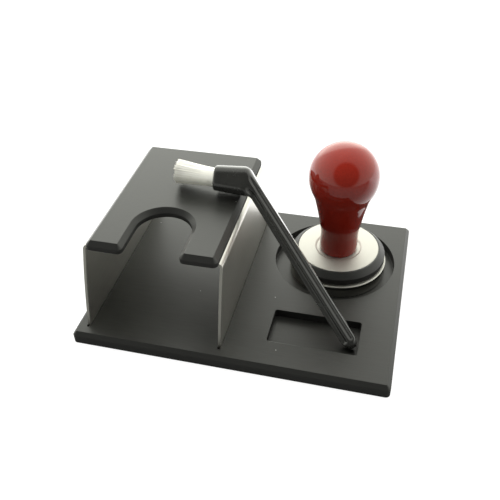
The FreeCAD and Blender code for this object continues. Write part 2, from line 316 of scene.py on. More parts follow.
def tone_between(tree, tone, dark, pale, low=noise_low, high=noise_high):
    """A colour that runs from dark to pale as the tone goes from low to high."""
    ramp = add_node(tree, "ShaderNodeValToRGB", {0: tone})
    for stop, place, colour in zip(ramp.color_ramp.elements, (low, high), (dark, pale)):
        stop.position = place
        stop.color = (*colour, 1.0)
    return ramp.outputs[0]


def value_between(tree, tone, low, high):
    """A number that runs from low to high as the tone crosses the noise's usual range."""
    return map_range(tree, tone, noise_low, noise_high, low, high)


def bump_from(tree, height, depth, shader, soft_radius=0.0):
    """Bump of that depth in metres over edges that are rounded off in the shading only."""
    bump = add_node(tree, "ShaderNodeBump", {"Strength": 1.0, "Distance": depth, "Height": height})
    if soft_radius:
        soft = add_node(tree, "ShaderNodeBevel", {"Radius": soft_radius}, samples=8)
        fill(tree, bump, {"Normal": soft.outputs[0]})
    fill(tree, shader, {"Normal": bump.outputs[0]})


def facing(tree, axis, low, high):
    """0 to 1 as the size of one part of the surface's own normal goes from low to high."""
    normal = add_node(tree, "ShaderNodeNewGeometry").outputs["Normal"]
    parts = add_node(tree, "ShaderNodeSeparateXYZ", {0: normal}).outputs
    return map_range(tree, maths(tree, "ABSOLUTE", parts[axis]), low, high)


# %% [markdown]
# ## Black moulded rubber
# The mat and the pad are black rubber, but under a bright tent of light they look dark grey, because a
# dull gloss spreads the light over them. So the colour is nearly black and the roughness middling. Streaks
# along the width change the tone and the gloss a little, and edges are softened for the light alone. The
# upright faces, and the bevels at the front and the back, are duller than the tops, and their colour is
# painted blacker than the tops' paler grain, as painted shade for the little light that reaches them.

# %% Rubber finishes
rubber_black = (0.010, 0.010, 0.0085)
rubber_grain_pale = (0.026, 0.0265, 0.024)
rubber_roughness = 0.45
rubber_grain = {"Patch size": 0.035, "Streak share": 0.65}
rubber_grain_depth = 0.00003
rubber_soft_edge = 0.0004
grain_pale_tones = (0.35, 0.95)
dust_pale = (0.42, 0.42, 0.39)
dust_grain = {"Spacing": 0.009, "Speck size": 0.035}
# Painted shade: the upright faces and the front and back bevels take this blacker colour.
flank_painted_shade = (0.0095, 0.0095, 0.0088)
flank_roughness = 0.75
bevel_facing = (0.45, 0.65)
top_facing = (0.2, 0.65)


def rubber_finish(name, streak_lengths, gloss_low, gloss_high, dust_rarity):
    """Paler grain and dust where the face looks up; duller and painted blacker, as painted shade, where it
    stands or slopes to front or back.
    """
    finish, tree, shader = start_finish(name, rubber_black, rubber_roughness)
    grain = place_group(tree, grain_group, {"Lengths": streak_lengths, **rubber_grain})
    dust = place_group(tree, dust_group, {"Rarity": dust_rarity, **dust_grain})
    body = tone_between(tree, grain["Tone"], rubber_black, rubber_grain_pale, *grain_pale_tones)
    dusty = blend_colours(tree, dust["Mask"], body, dust_pale)
    top = blend_numbers(tree, facing(tree, "Y", *bevel_facing), facing(tree, "Z", *top_facing), 0.0)
    gloss = value_between(tree, grain["Tone"], gloss_low, gloss_high)
    # Painted shade: faces that stand or slope to the front or back get the blacker flank colour.
    fill(tree, shader, {
        "Base Color": blend_colours(tree, top, flank_painted_shade, dusty),
        "Roughness": blend_numbers(tree, top, flank_roughness, gloss)})
    bump_from(tree, grain["Height"], rubber_grain_depth, shader, rubber_soft_edge)
    return finish


mat_rubber = rubber_finish(
    "mat_rubber", (0.012, 0.0007, 0.0007), gloss_low=0.36, gloss_high=0.46, dust_rarity=0.86)
pad_rubber = rubber_finish(
    "pad_rubber", (0.006, 0.0005, 0.0005), gloss_low=0.34, gloss_high=0.42, dust_rarity=0.97)
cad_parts["base_mat"].material_slots[0].material = mat_rubber
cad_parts["bridge_pad"].material_slots[0].material = pad_rubber
print("rubber on the mat and the pad")

# %% [markdown]
# ## Brushed steel
# The bridge is stainless sheet, brushed along its depth before it was folded. Steel has no colour of its
# own beyond its reflections, so it is a pale metal whose fine streaks run front to back. The streaks are
# very shallow: they blur what the wall mirrors without hiding the mat's dark reflection in it. The cut
# edges, with every face that looks to the front or the back, are rougher and greyer than the brushed faces:
# partly as sheared steel is, and partly as painted shade that dims what they mirror.

# %% Bridge finish
steel_pale = (0.66, 0.65, 0.61)
steel_dull = (0.56, 0.55, 0.51)
# Partly the grey of sheared steel, partly painted shade: faces looking to the front or back mirror less
# light.
sheared_grey_and_painted_shade = (0.36, 0.355, 0.325)
steel_roughness = 0.4
sheared_roughness = 0.5
sheared_facing = (0.80, 0.97)
brushed_roughness = (0.35, 0.41)
brush_grain = {"Lengths": (0.0005, 0.05, 0.0005), "Patch size": 0.02, "Streak share": 0.6}
brush_grain_depth = 0.00002
steel_soft_edge = 0.0003


def brushed_steel():
    """Streaks from front to back, and greyer metal, partly painted shade, where a face looks to the front or
    the back.
    """
    finish, tree, shader = start_finish("bridge_steel", steel_pale, steel_roughness, {"Metallic": 1.0})
    grain = place_group(tree, grain_group, brush_grain)
    cut = facing(tree, "Y", *sheared_facing)
    rolled = tone_between(tree, grain["Tone"], steel_dull, steel_pale)
    brushed = value_between(tree, grain["Tone"], *brushed_roughness)
    # Faces looking to the front or back take the greyer colour, partly as painted shade.
    fill(tree, shader, {
        "Base Color": blend_colours(tree, cut, rolled, sheared_grey_and_painted_shade),
        "Roughness": blend_numbers(tree, cut, brushed, sheared_roughness)})
    bump_from(tree, grain["Height"], brush_grain_depth, shader, steel_soft_edge)
    return finish


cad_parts["bridge_sheet"].material_slots[0].material = brushed_steel()
print("brushed steel on the bridge")

# %% [markdown]
# ## Surfaces from grids
# All new pieces are grids of points worked out with numpy. Rows run along the piece and columns run round
# it. A ring of rows can be closed into a hoop, or its two ends can be closed with a point in the middle of
# the first and last row. Last, the faces are turned outwards.

# %% Grid to mesh


def grid_faces(rows, columns, hoop=False):
    """Four-cornered faces of a grid that is closed round its columns, and along its rows if it is a hoop."""
    index = np.arange(rows * columns).reshape(rows, columns)
    across = np.roll(index, -1, axis=1)
    if hoop:
        below = np.roll(index, -1, axis=0)
        below_across = np.roll(across, -1, axis=0)
        return np.stack([index, across, below_across, below], axis=-1).reshape(-1, 4)
    return np.stack([index[:-1], across[:-1], across[1:], index[1:]], axis=-1).reshape(-1, 4)


def make_piece(name, points, faces, finish, sharp_angle):
    """An object at the origin whose place is in its mesh, smooth except where faces meet more sharply."""
    mesh = bpy.data.meshes.new(name)
    mesh.from_pydata(points.reshape(-1, 3).tolist(), [], faces)
    shape = bmesh.new()
    shape.from_mesh(mesh)
    bmesh.ops.recalc_face_normals(shape, faces=shape.faces)
    shape.to_mesh(mesh)
    shape.free()
    mesh.polygons.foreach_set("use_smooth", np.ones(len(mesh.polygons), bool))
    mesh.set_sharp_from_angle(angle=math.radians(sharp_angle))
    mesh.materials.append(finish)
    piece = bpy.data.objects.new(name, mesh)
    bpy.context.scene.collection.objects.link(piece)
    print(name, len(mesh.vertices), "points", len(mesh.polygons), "faces")
    return piece


def tube_piece(name, points, finish, hoop=False, sharp_angle=35.0):
    """A grid of shape (rows, columns, 3) as a closed piece.

    Each end is closed with a point in its middle, unless the piece is a hoop and has no ends.
    """
    rows, columns = points.shape[:2]
    faces = grid_faces(rows, columns, hoop).tolist()
    cloud = points.reshape(-1, 3)
    if not hoop:
        ends = np.array([points[0].mean(axis=0), points[-1].mean(axis=0)])
        cloud = np.vstack([cloud, ends])
        ring = np.arange(columns)
        after = np.roll(ring, -1)
        start = np.full(columns, rows * columns)
        faces += np.stack([after, ring, start], axis=-1).tolist()
        last = (rows - 1) * columns
        faces += np.stack([last + ring, last + after, start + 1], axis=-1).tolist()
    return make_piece(name, cloud, faces, finish, sharp_angle)


# %% [markdown]
# ## Profiles with rounded corners
# A turned part is a profile spun about its axis. Real corners are never sharp: each has a small radius that
# catches a thin line of light. The helper below takes corners as (across, up, radius) in millimetres and
# puts an arc at each, worked out for all corners at once.

# %% Rounded profile and lathe
least_length = 1e-12
least_radius = 1e-9
least_gap = 1e-7
flattest_cosine = 0.9999


def unit(vectors):
    """Vectors of length 1. A vector that is nearly 0 stays so."""
    return vectors / np.maximum(np.linalg.norm(vectors, axis=-1, keepdims=True), least_length)


def rounded_profile(corners, steps=7, closed=True):
    """Outline with an arc at each corner.

    With u and v the unit vectors to a corner's neighbours and h half the angle between them, the arc's
    centre is corner + unit(u + v) * radius / sin h. From the centre, the arc turns from the direction of
    its start, corner + u * radius / tan h, to that of its end, and sweeps pi - 2h.
    """
    table = np.array(corners, float) * MM
    spot = table[:, :2]
    radius = table[:, 2:]
    u = unit(np.roll(spot, 1, axis=0) - spot)
    v = unit(np.roll(spot, -1, axis=0) - spot)
    if not closed:
        radius[0] = 0.0
        radius[-1] = 0.0
    cosine = np.clip((u * v).sum(axis=1, keepdims=True), -flattest_cosine, flattest_cosine)
    half = 0.5 * np.arccos(cosine)
    centre = spot + unit(u + v) * radius / np.sin(half)
    start = unit(spot + u * np.maximum(radius, least_radius) / np.tan(half) - centre)
    end = unit(spot + v * np.maximum(radius, least_radius) / np.tan(half) - centre)
    bend = (np.pi - 2.0 * half)[:, None, :]
    share = np.linspace(0.0, 1.0, steps)[None, :, None]
    from_start = np.sin((1.0 - share) * bend) * start[:, None, :]
    to_end = np.sin(share * bend) * end[:, None, :]
    turn = (from_start + to_end) / np.sin(bend)
    outline = (centre[:, None, :] + turn * radius[:, None, :]).reshape(-1, 2)
    gaps = np.linalg.norm(np.diff(outline, axis=0), axis=1)
    return outline[np.append(True, gaps > least_gap)]


def spin(profile, axis, columns=180):
    """Points (axis.x + r cos a, axis.y + r sin a, z) for each profile point (r, z) and each angle a."""
    angle = np.linspace(0.0, 2.0 * np.pi, columns, endpoint=False)
    r = profile[:, :1]
    x = axis[0] + r * np.cos(angle)
    y = axis[1] + r * np.sin(angle)
    z = np.repeat(profile[:, 1:], columns, axis=1)
    return np.stack([x, y, z], axis=-1)


# %% [markdown]
# ## The tamper's steel piston
# It is one turned piece: a polished piston, a small step for the black ring, and a satin disc on top with
# a shallow round seat for the handle's foot. Turning leaves fine rings, so the lathe group varies the
# disc's gloss in circles. The piston's side is far smoother than its top, so it draws one bright line.

# %% Piston
base_low, base_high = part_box("tamper_base")
tamper_axis = ((base_low.x + base_high.x) / 2.0, (base_low.y + base_high.y) / 2.0)
piston_radius = (base_high.x - base_low.x) / 2.0 / MM
piston_floor = base_low.z / MM
disc_top = base_high.z / MM
piston_top = 10.5
step_radius = 26.2
step_top = 11.3
hub_radius = 24.0
seat_radius = 14.0
seat_depth = 0.6
seat_slope = 1.1
stud_hole_radius = 4.05
stud_floor = 8.0
turned_roughness = 0.36
polished_roughness = 0.12
disc_roughness = (0.56, 0.64)
disc_facing = (0.3, 0.7)
disc_ring_pitch = 0.00022
disc_ring_depth = 0.000004


def turned_rings(tree, pitch):
    """Tone and height of rings round the tamper's axis."""
    return place_group(tree, lathe_group, {"Axis": (*tamper_axis, 0.0), "Pitch": pitch})


def turned_steel():
    """A satin disc that faces up and a polished side."""
    finish, tree, shader = start_finish("tamper_steel", steel_pale, turned_roughness, {"Metallic": 1.0})
    rings = turned_rings(tree, disc_ring_pitch)
    satin = value_between(tree, rings["Tone"], *disc_roughness)
    top = facing(tree, "Z", *disc_facing)
    fill(tree, shader, {
        "Base Color": tone_between(tree, rings["Tone"], steel_dull, steel_pale),
        "Roughness": blend_numbers(tree, top, polished_roughness, satin)})
    bump_from(tree, rings["Height"], disc_ring_depth, shader)
    return finish


piston_profile = rounded_profile([
    (0.0, piston_floor, 0.0),
    (piston_radius, piston_floor, 0.5),
    (piston_radius, piston_top, 0.8),
    (step_radius, piston_top, 0.15),
    (step_radius, step_top, 0.1),
    (hub_radius, step_top, 0.1),
    (hub_radius, disc_top, 0.35),
    (seat_radius, disc_top, 0.2),
    (seat_radius - seat_slope, disc_top - seat_depth, 0.2),
    (stud_hole_radius, disc_top - seat_depth, 0.1),
    (stud_hole_radius, stud_floor, 0.1),
    (0.0, stud_floor, 0.0)], closed=False)
piston = tube_piece("tamper_piston_turned", spin(piston_profile[1:-1], tamper_axis), turned_steel())
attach(piston, "root")
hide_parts("tamper_base")

# %% [markdown]
# ## The black ring
# A moulded ring of black plastic grips the tamper's hub. Its upper face slopes, and it takes a wide soft
# light, while its side stays dark. It is a closed hoop, so its profile is spun with no ends to close.

# %% Ring
ring_low, ring_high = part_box("tamper_ring")
ring_radius = (ring_high.x - ring_low.x) / 2.0 / MM
ring_foot = ring_low.z / MM
ring_top = ring_high.z / MM
ring_side_top = 15.2
ring_lip_radius = 24.8
ring_bore_radius = hub_radius + 0.05
plastic_grain = {"Lengths": (0.0009, 0.0009, 0.0009), "Patch size": 0.006, "Streak share": 0.4}
plastic_grain_depth = 0.000008
plastic_pale_share = 1.4
plastic_tones = (0.3, 0.9)
roughness_swing = 0.05
coat_roughness = 0.15


def satin_black(name, colour, roughness, coat):
    """Black plastic with an even, fine grain. The coat is its gloss over that grain."""
    finish, tree, shader = start_finish(
        name, colour, roughness, {"Coat Weight": coat, "Coat Roughness": coat_roughness})
    grain = place_group(tree, grain_group, plastic_grain)
    pale = tuple(plastic_pale_share * part for part in colour)
    swing = (roughness - roughness_swing, roughness + roughness_swing)
    fill(tree, shader, {
        "Base Color": tone_between(tree, grain["Tone"], colour, pale, *plastic_tones),
        "Roughness": value_between(tree, grain["Tone"], *swing)})
    bump_from(tree, grain["Height"], plastic_grain_depth, shader)
    return finish


ring_profile = rounded_profile([
    (ring_bore_radius, ring_foot, 0.1),
    (ring_radius, ring_foot, 0.5),
    (ring_radius, ring_side_top, 0.7),
    (ring_lip_radius, ring_top, 0.3),
    (ring_bore_radius, ring_top, 0.1)])
ring_black = satin_black("ring_black", (0.017, 0.017, 0.016), roughness=0.4, coat=0.0)
ring = tube_piece("tamper_ring_moulded", spin(ring_profile, tamper_axis), ring_black, hoop=True)
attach(ring, "root")
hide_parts("tamper_ring")

# %% [markdown]
# ## The red handle
# The handle is turned wood under many coats of red lacquer. From a slightly waisted foot it widens into a
# ball. The ball is a true arc, and the neck is a smooth curve through a few radii that flows into it, so
# that reflections run over the join without a kink. All of its gloss lies in the clear coat over the red.

# %% Handle
handle_low, handle_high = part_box("tamper_handle")
ball_radius = (handle_high.x - handle_low.x) / 2.0 / MM
ball_height = handle_high.z / MM - ball_radius
handle_seat = handle_low.z / MM
join_angle = math.radians(-24.0)
crown_angle = math.radians(89.2)
ball_rows = 72
neck_radii = [
    (10.7, 0.0),
    (11.0, 0.6),
    (11.2, 2.6),
    (11.2, 5.0),
    (11.1, 7.4),
    (11.05, 9.8),
    (11.1, 12.2),
    (11.45, 14.9),
    (12.07, 18.8),
    (12.83, 22.9),
    (13.75, 27.3),
    (14.72, 31.3),
    (15.62, 34.6),
    (16.65, 38.0)]
deep_red = (0.215, 0.0125, 0.0065)
full_red = (0.285, 0.020, 0.0107)
red_roughness = 0.4
lacquer_coat = {"Specular IOR Level": 0.0, "Coat Weight": 1.0, "Coat Roughness": 0.05}
lacquer_grain = {"Lengths": (0.0008, 0.0008, 0.02), "Patch size": 0.02, "Streak share": 0.5}


def smooth_through(points, steps=8):
    """Catmull-Rom curve: between b and c with neighbours a and d, the point at t is
    half of 2b + (c - a) t + (2a - 5b + 4c - d) t^2 + (3b - a - 3c + d) t^3."""
    p = np.array(points, float)
    p = np.vstack([2.0 * p[0] - p[1], p, 2.0 * p[-1] - p[-2]])
    a, b, c, d = p[:-3, None], p[1:-2, None], p[2:-1, None], p[3:, None]
    t = np.linspace(0.0, 1.0, steps, endpoint=False)[None, :, None]
    curve = 0.5 * (2 * b + (c - a) * t + (2 * a - 5 * b + 4 * c - d) * t**2 + (3 * b - a - 3 * c + d) * t**3)
    return np.vstack([curve.reshape(-1, 2), points[-1]])


def handle_profile():
    """Radius and height up the neck, then round the ball from the join to just short of its crown."""
    neck = [(radius, handle_seat + height) for radius, height in neck_radii]
    angle = np.linspace(join_angle, crown_angle, ball_rows)
    ball = np.stack([ball_radius * np.cos(angle), ball_height + ball_radius * np.sin(angle)], axis=-1)
    shoulder = smooth_through(neck + [tuple(ball[0])])
    return np.vstack([shoulder[:-1], ball]) * MM


def red_lacquer():
    """Red with long faint streaks of wood grain under a clear, glossy coat."""
    finish, tree, shader = start_finish("handle_red", full_red, red_roughness, lacquer_coat)
    grain = place_group(tree, grain_group, lacquer_grain)
    fill(tree, shader, {"Base Color": tone_between(tree, grain["Tone"], deep_red, full_red)})
    return finish


handle = tube_piece("tamper_handle_lacquered", spin(handle_profile(), tamper_axis), red_lacquer())
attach(handle, "root")
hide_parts("tamper_handle")

# %% [markdown]
# ## The stud
# A plain steel pin holds handle and piston together. Nothing shows it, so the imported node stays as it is
# and only gets a turned finish, with the lathe's rings in its gloss.

# %% Stud finish
stud_ring_pitch = 0.0005
stud_roughness = (0.28, 0.42)
stud_middle = 0.35


def plain_steel():
    """Dull steel whose gloss changes in rings."""
    finish, tree, shader = start_finish("stud_steel", steel_dull, stud_middle, {"Metallic": 1.0})
    rings = turned_rings(tree, stud_ring_pitch)
    fill(tree, shader, {"Roughness": value_between(tree, rings["Tone"], *stud_roughness)})
    return finish


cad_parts["tamper_stud"].material_slots[0].material = plain_steel()
print("plain steel on the stud")

# %% [markdown]
# ## The brush handle
# One moulding of glossy black plastic: a chunky socket for the bristles and a slim flat grip that leaves it
# at a bend, with two grooves on each broad side. Four key sections give the form: the socket's mouth, its
# shoulder at the bend, the grip's throat just after it, and the grip's end. Every point of a section runs
# straight to the same point of the next one, and the corners between these lines are rounded. Distances
# for the grooves count down the grip from its start at the bend, so they are below zero on the socket.

# %% Brush sizes
brush_bend = np.array([-3.0, 8.4, 69.35]) * MM
brush_tip = np.array([66.1, -42.6, 4.58]) * MM
head_run = np.array([1.0, 0.0, 0.0])
grip_length = float(np.linalg.norm(brush_tip - brush_bend))
grip_run = (brush_tip - brush_bend) / grip_length
broad_side = unit(np.cross(-head_run, grip_run))
socket_length = 19.6 * MM
socket_thickness = 6.8 * MM
mouth_half_width = 7.1 * MM
shoulder_half_width = 8.2 * MM
shoulder_run = 1.0 * MM
shoulder_cut = 2.4 * MM
socket_corner = 5.0 * MM
rim_radius = 1.1 * MM
bore_rings = ((5.1, 6.0), (5.2, 0.5), (5.6, 0.0))
throat_run = 7.7 * MM
throat_cut = 2.0 * MM
grip_thickness = 3.8 * MM
throat_half_width = 3.9 * MM
end_half_width = 4.1 * MM
grip_corner = 2.0 * MM
nose_run = 6.0 * MM
nose_narrowing = 2.3 * MM
nose_thinning = 1.7 * MM
nose_power = 2.2
nose_flat = 0.2 * MM
nose_bulge = ((0.86, 0.05), (0.6, 0.08))
groove_half_width = 1.8 * MM
groove_depth = 1.0 * MM
groove_offsets = (1.9 * MM, 2.1 * MM)
groove_start = (-2.0 * MM, 3.0 * MM)
groove_end_run = 4.6 * MM
groove_end_fade = 0.7 * MM
mouth_distance = -20.0 * MM
shoulder_distance = -3.0 * MM
print("grip", round(grip_length / MM, 1), "mm long")

# %% Brush section
most_cut_share = 0.45


def ease(value, low, high):
    """0 below low, 1 above high, and 3t^2 - 2t^3 between them."""
    t = np.clip((value - low) / (high - low), 0.0, 1.0)
    return t * t * (3.0 - 2.0 * t)


def section_columns(corner_steps=14, broad_steps=40, edge_steps=6):
    """Share of half thickness and corner radius in one coordinate, and of half width and radius in the other.

    On the corner with signs p and q, a column at angle t has p a + (cos t - p) r across the thickness
    and q b + (sin t - q) r across the width. Columns on a flat side lie evenly between two such corners.
    """
    quarter = np.linspace(0.0, np.pi / 2.0, corner_steps)
    ones = np.ones(corner_steps)
    corners = []
    for turn, (p, q) in enumerate(((1, 1), (-1, 1), (-1, -1), (1, -1))):
        angle = quarter + turn * np.pi / 2.0
        corners.append(np.stack([p * ones, np.cos(angle) - p, q * ones, np.sin(angle) - q], axis=-1))
    columns = []
    for turn, steps in enumerate((edge_steps, broad_steps, edge_steps, broad_steps)):
        share = np.linspace(0.0, 1.0, steps + 2)[1:-1, None]
        following = corners[(turn + 1) % 4][0]
        columns += [corners[turn], corners[turn][-1] * (1.0 - share) + following * share]
    return np.vstack(columns)


brush_columns = section_columns()
print("section of", len(brush_columns), "columns")


def section_rows(centres, direction, half_thick, half_wide, corner):
    """Points of a section at each centre, and each point's coordinate across the width.

    The sizes may be single numbers or one for each centre. Rise = direction x broad side.
    """
    a, ar, b, br = brush_columns.T
    ones = np.ones((len(centres), 1))
    sizes = [ones * np.reshape(part, (-1, 1)) for part in (half_thick, half_wide, corner)]
    thick = sizes[0] * a + sizes[2] * ar
    wide = sizes[1] * b + sizes[2] * br
    rise = np.cross(direction, broad_side)
    return centres[:, None, :] + thick[..., None] * broad_side + wide[..., None] * rise, wide


def key_section(centre, direction, half_thick, half_wide, corner, offset, distance):
    """One section whose points carry six numbers: place, width coordinate, groove's offset and distance."""
    points, wide = section_rows(centre[None], direction, half_thick, half_wide, corner)
    marks = np.tile((offset, distance), (wide.shape[1], 1))
    return np.concatenate([points[0], wide[0][:, None], marks], axis=-1)


def straight_rows(first, last, count):
    """Rows between two sections, without the two themselves."""
    share = np.linspace(0.0, 1.0, count + 2)[1:-1, None, None]
    return first * (1.0 - share) + last * share


def round_rows(before, corner, after, cut, steps):
    """Rows that round the corner of every column: (1 - t)^2 A + 2 t (1 - t) B + t^2 C.

    B is the corner. A and C lie the cut away from it, or at most the set share of a shorter side.
    """
    ends = []
    for other in (before, after):
        side = other - corner
        share = np.minimum(cut / np.linalg.norm(side[:, :3], axis=-1, keepdims=True), most_cut_share)
        ends.append(corner + side * share)
    t = np.linspace(0.0, 1.0, steps)[:, None, None]
    return (1.0 - t) ** 2 * ends[0] + 2.0 * t * (1.0 - t) * corner + t**2 * ends[1]


# %% [markdown]
# ## Grooves, mouth and nose
# A groove is pressed into points that are already there: each knows how far it lies from the groove's
# middle and how far down the grip, and moves in by a smooth hollow that fades at both ends. The mouth is
# rows that climb out of the bore and roll over the rim, and the nose is rows that shrink towards the tip.

# %% Brush surface


def press_grooves(rows):
    """Push the broad sides in by depth * (1 - x^2)^2, where x is the distance from a groove's middle.

    The side is +1 or -1, by which of the two broad sides a column belongs to.
    """
    wide, offset, distance = rows[..., 3], rows[..., 4], rows[..., 5]
    last = grip_length - groove_end_run
    fade = ease(distance, last - groove_end_fade, last + groove_end_fade)
    window = ease(distance, *groove_start) * (1.0 - fade)
    x = np.clip((np.abs(wide) - offset) / groove_half_width, -1.0, 1.0)
    press = groove_depth * (1.0 - x * x) ** 2 * window
    side = np.sign(brush_columns[:, 0] + 0.5 * brush_columns[:, 1])
    return rows[..., :3] - (press * side)[..., None] * broad_side


def mouth_rows():
    """Up out of the bore, over the flat of the mouth and round its rim."""
    mouth = brush_bend - head_run * socket_length
    swing = np.linspace(np.pi / 2.0, 0.0, 7)
    inset = rim_radius * (1.0 - np.cos(swing))
    deep = rim_radius * (1.0 - np.sin(swing))
    rim, _ = section_rows(
        mouth + deep[:, None] * head_run, head_run,
        socket_thickness - inset, mouth_half_width - inset, socket_corner - inset)
    outward = unit(rim[0] - mouth)
    bore = [mouth + outward * radius * MM + head_run * depth * MM for radius, depth in bore_rings]
    return np.concatenate([np.stack(bore), rim])


def nose_rows():
    """The grip's end and a closing bulge.

    The half width falls with the nose's power of the distance, and the half thickness with its square.
    """
    share = np.sin(np.linspace(0.0, np.pi / 2.0, 16))
    left = nose_run * (1.0 - share)[:, None]
    half_wide = end_half_width - nose_narrowing * share**nose_power
    half_thick = grip_thickness - nose_thinning * share**2
    corner = np.minimum(grip_corner, half_wide - nose_flat)
    rows, wide = section_rows(brush_tip - left * grip_run, grip_run, half_thick, half_wide, corner)
    distance = (grip_length - left) * np.ones_like(wide)
    marks = np.stack([wide, np.full_like(wide, groove_offsets[1]), distance], axis=-1)
    rows = press_grooves(np.concatenate([rows, marks], axis=-1))
    bulge = [brush_tip + (rows[-1] - brush_tip) * size + grip_run * out * MM for size, out in nose_bulge]
    return np.concatenate([rows, np.stack(bulge)])


def brush_surface():
    """All rows of the handle, from inside its bore to the grip's tip."""
    spread = groove_offsets[0] * shoulder_half_width / throat_half_width
    rim = key_section(
        brush_bend - head_run * (socket_length - rim_radius), head_run,
        socket_thickness, mouth_half_width, socket_corner, spread, mouth_distance)
    shoulder = key_section(
        brush_bend - head_run * shoulder_run, head_run,
        socket_thickness, shoulder_half_width, socket_corner, spread, shoulder_distance)
    throat = key_section(
        brush_bend + grip_run * throat_run, grip_run,
        grip_thickness, throat_half_width, grip_corner, groove_offsets[0], throat_run)
    end = key_section(
        brush_tip - grip_run * nose_run, grip_run,
        grip_thickness, end_half_width, grip_corner, groove_offsets[1], grip_length - nose_run)
    at_shoulder = round_rows(rim, shoulder, throat, shoulder_cut, 9)
    at_throat = round_rows(shoulder, throat, end, throat_cut, 6)
    middle = np.concatenate([
        straight_rows(rim, at_shoulder[0], 10),
        at_shoulder,
        straight_rows(at_shoulder[-1], at_throat[0], 12),
        at_throat,
        straight_rows(at_throat[-1], end, 110)])
    return np.concatenate([mouth_rows(), press_grooves(middle), nose_rows()])


brush_black = satin_black("brush_black", (0.022, 0.022, 0.0205), roughness=0.25, coat=0.6)
brush = tube_piece("brush_handle_moulded", brush_surface(), brush_black, sharp_angle=50.0)
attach(brush, "root")
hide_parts("brush_handle")

# %% [markdown]
# ## The bristles
# A brush is believed strand by strand, so every bristle is its own thin rod of four sides. Their roots are
# spread over the socket's bore on a sunflower spiral, which fills a disc evenly. Each one leans outwards
# in proportion to its distance from the middle, and its length varies a little, in clumps and by itself,
# so that the end is ragged. A number kept on each strand varies its tone. Light passes through real nylon,
# so the bundle shades as one soft body: its normals are the bundle's own, tipped a little to the sky.

# %% Bristle sizes
strand_count = 2300
strand_half_width = 0.15 * MM
strand_end_share = 0.55
mouth_radius = 5.15 * MM
tip_radius = 6.8 * MM
lean_power = 1.6
bristle_length = 24.0 * MM
dome_share = 0.05
clump_height = 0.5 * MM
clump_waves = (5.0, 6.0)
clump_starts = (1.3, 0.4)
length_scatter = 0.28 * MM
stray_scatter = 0.22 * MM
most_over_length = 0.9 * MM
own_share = 0.35
sky_share = np.array([0.0, -0.15, 0.45])
bundle_lift = np.array([0.0, 2.8, -0.2]) * MM
root_depth = 3.0 * MM
golden_angle = math.pi * (3.0 - math.sqrt(5.0))
nylon_cream = (0.93, 0.91, 0.82)
nylon_pale = (0.97, 0.965, 0.90)
nylon_middle = (0.95, 0.94, 0.87)
nylon_roughness = 0.42
nylon_mirror = {"Specular IOR Level": 0.2}
chance = np.random.default_rng(7)
print(strand_count, "strands of", round(bristle_length / MM, 1), "mm")

# %% Bristle points


def bristle_points(rows=6):
    """Middle of strand i at share t of its way = mouth - run (L t - depth) + e f (m + (tip - m) t^1.6).

    Here e points outwards at i golden angles, and f is the strand's place from the middle, 0, to the rim, 1.
    A normal for each point comes too: e, plus a share of the strand's own roundness, so that the bundle
    takes the light as one soft body, which is how hundreds of pale thin strands look.
    """
    number = np.arange(strand_count)
    angle = number * golden_angle
    filled = np.sqrt((number + 0.5) / strand_count)
    outward = np.stack([np.zeros(strand_count), np.cos(angle), np.sin(angle)], axis=-1)
    clump = (np.sin(clump_waves[0] * filled * np.cos(angle) + clump_starts[0])
             * np.sin(clump_waves[1] * filled * np.sin(angle) + clump_starts[1]))
    length = bristle_length * (1.0 - dome_share * filled**2) + clump * clump_height
    length = length + chance.normal(0.0, length_scatter, strand_count)
    reach = np.minimum(length, bristle_length + most_over_length) + root_depth
    t = np.linspace(0.0, 1.0, rows)[None, :]
    lean = mouth_radius + (tip_radius - mouth_radius) * t**lean_power
    spread = (filled[:, None] * lean)[..., None] * outward[:, None, :]
    stray = chance.normal(0.0, stray_scatter, (strand_count, 1, 3)) * (t**2)[..., None]
    middle = brush_bend - head_run * socket_length + spread + stray
    middle = middle - head_run * (reach[:, None] * t - root_depth)[..., None] + bundle_lift * t[..., None]
    slim = strand_half_width * np.where(t < 1.0, 1.0, strand_end_share)
    turn = np.linspace(0.0, 2.0 * np.pi, 4, endpoint=False) + np.pi / 4.0
    round_shape = np.stack([np.zeros(4), np.cos(turn), np.sin(turn)], axis=-1)
    bundle = outward[:, None, None, :] * filled[:, None, None, None]
    soft = unit(bundle + own_share * round_shape + sky_share)
    return middle[:, :, None, :] + slim[..., None, None] * round_shape, np.repeat(soft, rows, axis=1)


# %% Bristle piece


def nylon_white():
    """Off-white nylon whose tone comes from the number on each strand."""
    finish, tree, shader = start_finish("bristle_white", nylon_middle, nylon_roughness, nylon_mirror)
    tone = add_node(tree, "ShaderNodeAttribute", attribute_name="strand_tone").outputs["Fac"]
    fill(tree, shader, {"Base Color": tone_between(tree, tone, nylon_cream, nylon_pale, 0.0, 1.0)})
    return finish


def bristle_piece():
    """All strands as one mesh, each closed at both ends, with its normals and a tone for each strand."""
    points, soft = bristle_points()
    count, rows, sides = points.shape[:3]
    root_cap = np.array([[3, 2, 1, 0]])
    tip_cap = (rows - 1) * sides + np.array([[0, 1, 2, 3]])
    one = np.vstack([grid_faces(rows, sides), root_cap, tip_cap])
    faces = (one[None] + (np.arange(count) * rows * sides)[:, None, None]).reshape(-1, 4)
    piece = make_piece("brush_bristle_strands", points, faces.tolist(), nylon_white(), sharp_angle=80.0)
    piece.data.normals_split_custom_set_from_vertices(soft.reshape(-1, 3).tolist())
    tones = np.repeat(chance.random(count), rows * sides)
    layer = piece.data.attributes.new("strand_tone", "FLOAT", "POINT")
    layer.data.foreach_set("value", tones.astype(np.float32))
    return piece


bristles = bristle_piece()
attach(bristles, "root")
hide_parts("brush_bristles")

